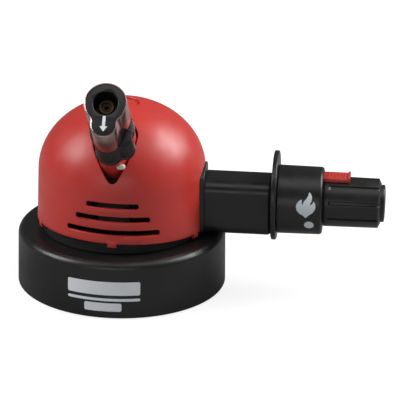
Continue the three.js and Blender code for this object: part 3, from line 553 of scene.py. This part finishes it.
def dome():
    shell = lathe("dome_look", dome_profile())
    wide = BASE_R + 5
    square = [(-wide, -wide), (wide, -wide), (wide, wide), (-wide, wide)]
    combine(shell, prism("rim_tool", square, -20, 0, slanted(DOME_RIM)), "DIFFERENCE")
    for angle in TAB_ANGLES:
        outer = DOME_RIM_R - TAB_INSET
        inner = outer - TAB_THICKNESS
        half = TAB_WIDTH / 2
        turn = slanted(DOME_RIM) @ Matrix.Rotation(math.radians(angle), 4, "Z")
        outline = [(half, -inner), (-half, -inner), (-half, -outer), (half, -outer)]
        combine(shell, prism("tab", outline, -TAB_DROP, 1, turn), "UNION")
    combine(shell, arch_tool("dome_arch"), "DIFFERENCE")
    teardrop = prism("teardrop", teardrop_outline(), -NECK_END - 8, -COLLAR_END, BURNER)
    combine(shell, teardrop, "DIFFERENCE")
    for height, half_angle in VENTS:
        combine(shell, vent_tool(height, half_angle), "DIFFERENCE")
    round_edges(shell, 0.35)
    dress(shell, "red_plastic", replaces=["dome_shell"])


def top_cap():
    r = cap_high.x
    cap = lathe("top_cap_look", [
        (0, cap_low.z), (2.5, cap_low.z), (2.5, RECESS_FLOOR + 0.3), (r, RECESS_FLOOR + 0.3),
        (r, cap_high.z - 0.3), (r - 0.1, cap_high.z - 0.1), (r - 0.35, cap_high.z),
        (r * 0.5, cap_high.z - 0.12), (0, cap_high.z - 0.15),
    ])
    dress(cap, "red_plastic", replaces=["top_cap"])


# ------------------------------------------------------------------ burner

def keyhole(grow=0.0, height=0.0):
    """A large circle and a lobe below it, joined by two hollow blends."""
    main, lobe, blend = MAIN_R + grow, LOBE_R + grow, BLEND_R - grow
    a, b = main + blend, lobe + blend
    along = (a * a - b * b + LOBE_DROP ** 2) / (2 * LOBE_DROP)
    side = math.sqrt(a * a - along * along)
    main_angle = math.degrees(math.atan2(-along, side))
    lobe_angle = math.degrees(math.atan2(LOBE_DROP - along, side))
    points = [
        *arc(0, 0, main, main_angle, 180 - main_angle, 48)[:-1],
        *arc(-side, -along, blend, -main_angle, -lobe_angle, 10)[:-1],
        *arc(0, -LOBE_DROP, lobe, 180 - lobe_angle, 360 + lobe_angle, 32)[:-1],
        *arc(side, -along, blend, 180 + lobe_angle, 180 + main_angle, 10)[:-1],
    ]
    return [(x, y, height) for x, y in points]


def keyhole_outline(grow=0.0):
    return [(x, y) for x, y, _ in keyhole(grow)]


def burner_sleeve():
    wall = SLEEVE_WALL
    sleeve = loft("burner_sleeve_look", [
        keyhole(wall, height=-SLEEVE_LENGTH),
        keyhole(wall, height=-0.3),
        keyhole(wall - 0.08, height=-0.09),
        keyhole(wall - 0.25, height=0),
        keyhole(0.15, height=0),
        keyhole(0.0, height=-0.15),
        keyhole(0.0, height=-SLEEVE_LENGTH),
    ], ring=True, place=BURNER)
    dress(sleeve, "chrome", replaces=["burner_sleeve"])


def face_plate():
    low, high = -FACE_SINK - FACE_THICKNESS, -FACE_SINK
    plate = prism("burner_face_plate_look", keyhole_outline(-0.05), low, high, BURNER)
    combine(plate, lathe("bore", [(0, low - 1), (BORE_R, low - 1), (BORE_R, high + 1), (0, high + 1)],
                         SMALL_ROUND, BURNER), "DIFFERENCE")
    round_edges(plate, 0.25)
    dress(plate, "black_plastic", replaces=["burner_face_plate"])


def face_arrow():
    """An arrow printed under the bore, pointing down the lobe."""
    top, neck, tip = -6.9, -12.4, -15.2
    shaft, head = 0.75, 2.0
    outline = [
        (-shaft, top), (-shaft, neck), (-head, neck), (0, tip), (head, neck), (shaft, neck), (shaft, top),
    ]
    arrow = prism("face_arrow", outline, -FACE_SINK + 0.02, -FACE_SINK + 0.02 + INK, BURNER)
    dress(arrow, "black_plastic", material=white_ink)


def nozzle():
    front = -NOZZLE_DEPTH
    flange = BORE_R - 0.3
    jet = lathe("burner_nozzle_look", [
        (0.9, front - 7), (flange, front - 7), (flange, front - 4.7), (flange - 0.2, front - 4.5),
        (3.9, front - 4.5), (3.8, front - 4.35), (3.8, front - 0.2), (3.6, front),
        (2.9, front), (2.6, front - 0.2),
        (2.4, front - 1), (1.9, front - 1), (1.8, front - 0.8), (1.6, front - 0.8), (1.5, front - 1),
        (1.2, front - 1), (0.9, front - 1.3),
    ], SMALL_ROUND, BURNER)
    dress(jet, "brass", replaces=["burner_nozzle"])


def burner_collar():
    front = -SLEEVE_LENGTH - 0.1
    lip_front = -COLLAR_END + COLLAR_LIP
    collar = prism("burner_collar_look", keyhole_outline(COLLAR_WALL), -COLLAR_END, front, BURNER)
    ear = arc(EAR[0], EAR[1], EAR_R, 0, 352.5, 47)
    ear_lip = arc(EAR[0], EAR[1], EAR_R + COLLAR_LIP_WALL - COLLAR_WALL, 0, 352.5, 47)
    combine(collar, prism("ear", ear, -COLLAR_END, front, BURNER), "UNION")
    combine(collar, prism("lip", keyhole_outline(COLLAR_LIP_WALL), -COLLAR_END, lip_front, BURNER), "UNION")
    combine(collar, prism("ear_lip", ear_lip, -COLLAR_END, lip_front, BURNER), "UNION")
    combine(collar, prism("passage", keyhole_outline(), -COLLAR_END - 1, front + 1, BURNER), "DIFFERENCE")
    round_edges(collar, 0.3)
    dress(collar, "black_plastic", replaces=["burner_collar"])


def neck_outline(grow, height):
    """A large circle and the lobe's circle with their common tangents."""
    (top, top_r), (bottom, bottom_r) = NECK_TOP, NECK_LOBE
    lean = math.degrees(math.asin((top_r - bottom_r) / (top - bottom)))
    points = [
        *arc(0, top, top_r + grow, -lean, 180 + lean, 64),
        *arc(0, bottom, bottom_r + grow, 180 + lean, 360 - lean, 40),
    ]
    return [(x, y, height) for x, y in points]


def along_lobe(r, start, end, drop=LOBE_DROP):
    """A boring tool below the burner's axis."""
    place = BURNER @ Matrix.Translation((0, -drop, 0))
    return lathe("bore_tool", [(0, start), (r, start), (r, end), (0, end)], SMALL_ROUND, place)


def burner_neck():
    low, high = -NECK_END, -COLLAR_END - 0.3
    neck = loft("burner_neck_look", [
        neck_outline(-0.3, low), neck_outline(0, low + 0.3),
        neck_outline(0, high - 0.3), neck_outline(-0.3, high),
    ], place=BURNER)
    combine(neck, along_lobe(BORE_R, low - 1, high + 1, 0), "DIFFERENCE")
    combine(neck, along_lobe(CHANNEL_R, low - 1, high + 1), "DIFFERENCE")
    start, end = PLUG_ENDS[0] - 0.3, PLUG_ENDS[1] + 1
    r = PLUG_R + 0.3
    pocket = lathe("plug_pocket", [(0, start), (r, start), (r, end), (0, end)], SMALL_ROUND, plug_place())
    combine(neck, pocket, "DIFFERENCE")
    neck.data.set_sharp_from_angle(angle=math.radians(35))
    dress(neck, "red_plastic", replaces=["burner_neck"])


def plug_place():
    return BURNER @ Matrix.Translation((0, -PLUG_DROP, -PLUG_DEPTH)) @ ALONG_X


def insulator_plug():
    start, end = PLUG_ENDS
    r = PLUG_R - 0.1
    plug = lathe("insulator_plug_look", [
        (0, start), *arc(0.1, start + r, r, -85, 0, 12), *arc(0.1, end - r, r, 0, 85, 12), (0, end),
    ], SMALL_ROUND, plug_place())
    dress(plug, "ceramic", replaces=["insulator_plug"])


# ------------------------------------------------------------------ handle

def saddle():
    bottom = saddle_low.z
    outline = arch_outline(saddle_high.y, bottom, SADDLE_SHOULDER, saddle_high.z, corner=3.0)
    block = prism("handle_saddle_look", outline, saddle_low.x, saddle_high.x, ALONG_X)
    half = PASSAGE_HALF_WIDTH
    passage = [(half, PASSAGE_LOW), (half, PASSAGE_HIGH), (-half, PASSAGE_HIGH), (-half, PASSAGE_LOW)]
    combine(block, prism("passage", passage, saddle_low.x - 1, saddle_high.x + 1, ALONG_X), "DIFFERENCE")
    round_edges(block, 0.25)
    dress(block, "black_plastic", replaces=["handle_saddle"])


def rounded_rect(half_w, half_h, r, x):
    corners = ((1, 1, 0), (-1, 1, 90), (-1, -1, 180), (1, -1, 270))
    points = []
    for sx, sy, start in corners:
        points += arc(sx * (half_w - r), sy * (half_h - r), r, start, start + 90, 12)
    return [(w, h + STOCK_Z, x) for w, h in points]


def stock():
    half_d, half_h = stock_high.y, (stock_high.z - stock_low.z) / 2
    wall = HANDLE_WALL
    root = stock_low.x - 0.35  # closes the joint with the saddle
    inner = [rounded_rect(half_d - wall, half_h - wall, STOCK_CORNER - wall, x) for x in (stock_high.x, root)]
    end_round = 1.8
    outer = [rounded_rect(half_d - 0.25, half_h - 0.25, STOCK_CORNER - 0.25, root),
             rounded_rect(half_d - 0.25, half_h - 0.25, STOCK_CORNER - 0.25, stock_low.x),
             rounded_rect(half_d, half_h, STOCK_CORNER, stock_low.x + 0.25)]
    for i in range(9):
        angle = math.pi / 2 * i / 8
        inset = end_round * (1 - math.cos(angle))
        x = stock_high.x - end_round + end_round * math.sin(angle)
        outer.append(rounded_rect(half_d - inset, half_h - inset, STOCK_CORNER - inset, x))
    body = loft("handle_stock_look", outer + inner, ring=True, place=ALONG_X)
    dress(body, "black_plastic", replaces=["handle_stock"])


def handle_lathe(name, profile, centre=CONTROL_Z):
    return lathe(name, profile, ROUND, Matrix.Translation((0, 0, centre)) @ ALONG_X)


def guard():
    edge = 0.6
    left, right = guard_low.x, guard_high.x
    disc = handle_lathe("finger_guard_look", [
        (9, left), (GUARD_R - edge, left), *arc(GUARD_R - edge, left + edge, edge, -90, 0, 5)[1:],
        *arc(GUARD_R - edge, right - edge, edge, 0, 90, 5), (9, right),
    ], centre=GUARD_Z)
    dress(disc, "black_plastic", replaces=["finger_guard"])


def lock_outline(grow):
    under = KNOB_R + 0.3 - grow
    half = lock_high.y + grow
    lean = math.degrees(math.asin(half / under))
    top = LOCK_TOP + grow
    return [
        *arc(0, 0, under, 90 + lean, 90 - lean, 16),
        (half, top - 0.6), (half - 0.15, top - 0.2), (half - 0.6, top),
        (-half + 0.6, top), (-half + 0.15, top - 0.2), (-half, top - 0.6),
    ]


def control_collar():
    wall = HANDLE_WALL
    face = collar_high.x
    shell = handle_lathe("control_collar_look", [
        (COLLAR_R - wall, collar_low.x), (COLLAR_R - 0.3, collar_low.x), (COLLAR_R, collar_low.x + 0.3),
        *arc(COLLAR_TIP_R - COLLAR_FILLET, face - COLLAR_FILLET, COLLAR_FILLET, 0, 90, 10),
        (COLLAR_HOLE_R, face), (COLLAR_HOLE_R, face - wall), (COLLAR_R - wall, face - wall),
    ])
    place = Matrix.Translation((0, 0, CONTROL_Z)) @ ALONG_X
    back = lock_low.x - LOCK_POCKET_DEPTH
    combine(shell, prism("lock_pocket", lock_outline(0.3), back, face + 1, place), "DIFFERENCE")
    shell.data.set_sharp_from_angle(angle=math.radians(40))
    dress(shell, "black_plastic", replaces=["control_collar"])


def flame_mark():
    """The lit-flame symbol and the index dot, printed on the collar's front."""
    flame = [
        (1.6, 10.8), (2.6, 9.7), (3.2, 8.2), (3.0, 6.4), (2.3, 4.6), (2.1, 3.9), (3.2, 4.6), (4.1, 6.0),
        (4.9, 4.6), (5.1, 2.9), (4.6, 1.2), (3.4, -0.3), (1.6, -1.6), (0.1, -3.2), (-1.3, -1.8),
        (-3.3, -0.6), (-4.6, 1.0), (-5.1, 2.8), (-4.7, 4.6), (-3.6, 6.0), (-2.1, 6.9), (-2.2, 5.3),
        (-1.9, 3.6), (-1.0, 5.8), (0.3, 7.4), (1.2, 9.0),
    ]
    place = Matrix.Translation((FLAME_X, 0, CONTROL_Z))
    dress(wrapped_print("flame_mark", flame, COLLAR_R - 0.1, place), "black_plastic", material=silver_ink)
    centre_v = math.radians(DOT_ANGLE) * COLLAR_R
    dot = arc(DOT_X, centre_v, DOT_R, 0, 348.75, 31)
    dress(wrapped_print("index_dot", dot, COLLAR_R - 0.12, place), "black_plastic", material=silver_ink)


def groove(angle, r):
    """How deep into a groove an angle lies, from 0 on the land to 1 on its floor."""
    pitch = 360 / GROOVES
    offset = (angle - GROOVE_FIRST + pitch / 2) % pitch - pitch / 2
    across = abs(math.radians(offset)) * r
    return min(1.0, max(0.0, (GROOVE_WIDTH / 2 - across) / 0.3))


def knob():
    count = 720
    end = knob_high.x
    chamfer = end - KNOB_CHAMFER_X
    outer = [
        (KNOB_START, KNOB_R - 0.5, 0), (KNOB_START + 0.1, KNOB_R - 0.2, 0), (KNOB_START + 0.5, KNOB_R, 0),
        (GROOVE_START - 0.1, KNOB_R, 0), (GROOVE_START + 0.5, KNOB_R - 0.02, GROOVE_DEPTH),
        (chamfer - 0.25, KNOB_TIP_R, GROOVE_DEPTH), (chamfer, KNOB_TIP_R - 0.06, GROOVE_DEPTH),
        (chamfer + 0.15, KNOB_TIP_R - 0.25, GROOVE_DEPTH * 0.9),
        (end - 0.15, KNOB_TIP_R - KNOB_CHAMFER_R + 0.3, 0.1), (end, KNOB_TIP_R - KNOB_CHAMFER_R, 0),
    ]
    loops = []
    for x, r, depth in outer:
        loop = []
        for i in range(count):
            elevation = 360 * i / count
            radius = r - depth * groove(elevation, r)
            a = math.radians(elevation)
            loop.append((-radius * math.cos(a), radius * math.sin(a), x))
        loops.append(loop)
    inside = ((10.3, end - 0.05), (10.2, end - 0.2), (10.2, RECESS_X), (SPINDLE_HOLE_R, RECESS_X),
              (SPINDLE_HOLE_R, knob_low.x), (10.4, knob_low.x), (10.4, KNOB_START))
    for r, x in inside:
        loops.append([(-r * math.cos(2 * math.pi * i / count), r * math.sin(2 * math.pi * i / count), x)
                      for i in range(count)])
    place = Matrix.Translation((0, 0, CONTROL_Z)) @ ALONG_X
    dress(loft("control_knob_look", loops, ring=True, place=place), "black_plastic", "knob", ["control_knob"])


def pointer_mark():
    v = math.radians(POINTER_ANGLE) * KNOB_R
    outline = [(-0.6, v - 0.9), (0.6, v - 0.9), (0.6, v + 0.9), (-0.6, v + 0.9)]
    place = Matrix.Translation((POINTER_X, 0, CONTROL_Z))
    mark = wrapped_print("knob_pointer", outline, KNOB_R, place, 0.4)
    dress(mark, "black_plastic", "knob", material=grey_ink)


def button():
    r, back, tip = button_high.y, button_low.x, button_high.x
    profile = [(0, back), (r - 0.2, back), (r, back + 0.2), (r, tip - 1.0), (r - 0.1, tip - 0.72),
               (r - 0.35, tip - 0.48), (r - 0.8, tip - 0.36)]
    profile += [(r * f, tip - 0.34 * f * f) for f in (0.8, 0.6, 0.4, 0.2, 0.05)]
    press = handle_lathe("ignition_button_look", profile + [(0, tip)])
    dress(press, "black_plastic", "button", ["ignition_button"])


def lock():
    place = Matrix.Translation((0, 0, CONTROL_Z)) @ ALONG_X
    half = lock_high.y
    slider = prism("lock_slider_look", lock_outline(0.0), lock_low.x, lock_high.x, place)
    lip = [(half, LOCK_TOP - 1), (half, LOCK_TOP + 0.5), (-half, LOCK_TOP + 0.5), (-half, LOCK_TOP - 1)]
    combine(slider, prism("lip", lip, lock_high.x - LOCK_LIP, lock_high.x, place), "UNION")
    x = RIB_START
    while x < lock_high.x - 2:
        w = half - 0.9
        rib = [(w, LOCK_TOP - 0.5), (w, LOCK_TOP + 0.15), (-w, LOCK_TOP + 0.15), (-w, LOCK_TOP - 0.5)]
        combine(slider, prism("rib", rib, x, x + RIB_WIDTH, place), "UNION")
        x += RIB_PITCH
    round_edges(slider, 0.14)
    dress(slider, "red_lock", "lock", ["lock_slider"])


# ------------------------------------------------------- carried-over nodes

def dress_cad_nodes():
    """Gives every CAD node its slot's finish, and smooth shading to its round faces."""
    slots = {part["node"]: part["material_slot"] for part in frame["record"]["subparts"]}
    for name, obj in frame["nodes"].items():
        obj.data.materials.clear()
        obj.data.materials.append(looks[slots[name]])
        obj.data.shade_smooth()
        weld = obj.modifiers.new("weld", "WELD")
        weld.merge_threshold = 0.002 * MM
        split = obj.modifiers.new("crisp_edges", "EDGE_SPLIT")
        split.split_angle = math.radians(38)


# ------------------------------------------------------------------- stage

# The camera and the lights are placed in metres.
CAMERA_TURN = (5.13, 21.82, 0.80)  # azimuth, elevation and roll in degrees
CAMERA_DISTANCE = 1.5
CAMERA_LENS = 256.1
CAMERA_TARGET = (0.04103, 0.045)  # to the camera's right, and up
LIGHT_AIM = (0.03, 0, 0.05)


def camera():
    azimuth, elevation, roll = (math.radians(angle) for angle in CAMERA_TURN)
    right = Vector((math.cos(azimuth), math.sin(azimuth), 0))
    back = Vector((math.sin(azimuth) * math.cos(elevation), -math.cos(azimuth) * math.cos(elevation),
                   math.sin(elevation)))
    up = back.cross(right)
    aside, height = CAMERA_TARGET
    target = right * aside + Vector((0, 0, height))
    rolled_right = right * math.cos(roll) + up * math.sin(roll)
    rolled_up = up * math.cos(roll) - right * math.sin(roll)
    data = bpy.data.cameras.new("camera")
    data.lens = CAMERA_LENS
    data.sensor_width = 36
    data.clip_end = 20
    obj = bpy.data.objects.new("camera", data)
    turn = Matrix((rolled_right, rolled_up, back)).transposed().to_4x4()
    obj.matrix_world = Matrix.Translation(target + back * CAMERA_DISTANCE) @ turn
    bpy.context.scene.collection.objects.link(obj)
    bpy.context.scene.camera = obj


def by_camera(tree, seen, unseen):
    """One value for the camera's own rays and another for all other light."""
    path = tree.nodes.new("ShaderNodeLightPath")
    made = tree.nodes.new("ShaderNodeMapRange")
    tree.links.new(path.outputs["Is Camera Ray"], made.inputs["Value"])
    made.inputs["To Min"].default_value = unseen
    made.inputs["To Max"].default_value = seen
    return made.outputs["Result"]


def floor():
    """Pale paper that looks white without throwing much light up at the torch."""
    bm = bmesh.new()
    bmesh.ops.create_grid(bm, x_segments=8, y_segments=8, size=3000)
    plane = new_object("floor", bm)
    paper = surface("floor_paper", (0.30, 0.30, 0.30), 0.8, 2.0, 0.01, tone=0.99, wear=0.0)
    tree = paper.node_tree
    shader = tree.nodes["Principled BSDF"]
    shader.inputs["Emission Color"].default_value = (1, 1, 1, 1)
    tree.links.new(by_camera(tree, 0.80, 0.0), shader.inputs["Emission Strength"])
    plane.data.materials.append(paper)


def light(name, place, size, power):
    """A soft box in metres, turned towards the torch."""
    data = bpy.data.lights.new(name, "AREA")
    data.shape = "RECTANGLE"
    data.size, data.size_y = size
    data.energy = power
    obj = bpy.data.objects.new(name, data)
    direction = Vector(LIGHT_AIM) - Vector(place)
    turn = direction.to_track_quat("-Z", "Y").to_matrix().to_4x4()
    obj.matrix_world = Matrix.Translation(place) @ turn
    bpy.context.scene.collection.objects.link(obj)


def studio():
    world = bpy.data.worlds.new("studio")
    world.use_nodes = True
    backdrop = world.node_tree.nodes["Background"]
    backdrop.inputs["Color"].default_value = (1, 1, 1, 1)
    world.node_tree.links.new(by_camera(world.node_tree, 1.0, 0.10), backdrop.inputs["Strength"])
    bpy.context.scene.world = world
    light("overhead", (0.05, -0.25, 1.1), (0.8, 0.6), 2.0)
    light("left_box", (-0.90, -0.15, 0.78), (0.6, 0.6), 9)
    light("right_box", (0.75, 0.25, 0.66), (0.6, 0.6), 11)
    light("front_fill", (-0.10, -1.15, 0.30), (1.0, 0.3), 1.8)
    bpy.context.scene.view_settings.view_transform = "Standard"


camera()
dress_cad_nodes()
base_shell()
base_mark()
chassis_tray()
dome()
top_cap()
burner_sleeve()
face_plate()
face_arrow()
nozzle()
burner_collar()
burner_neck()
insulator_plug()
saddle()
stock()
guard()
control_collar()
flame_mark()
knob()
pointer_mark()
button()
lock()
floor()
studio()
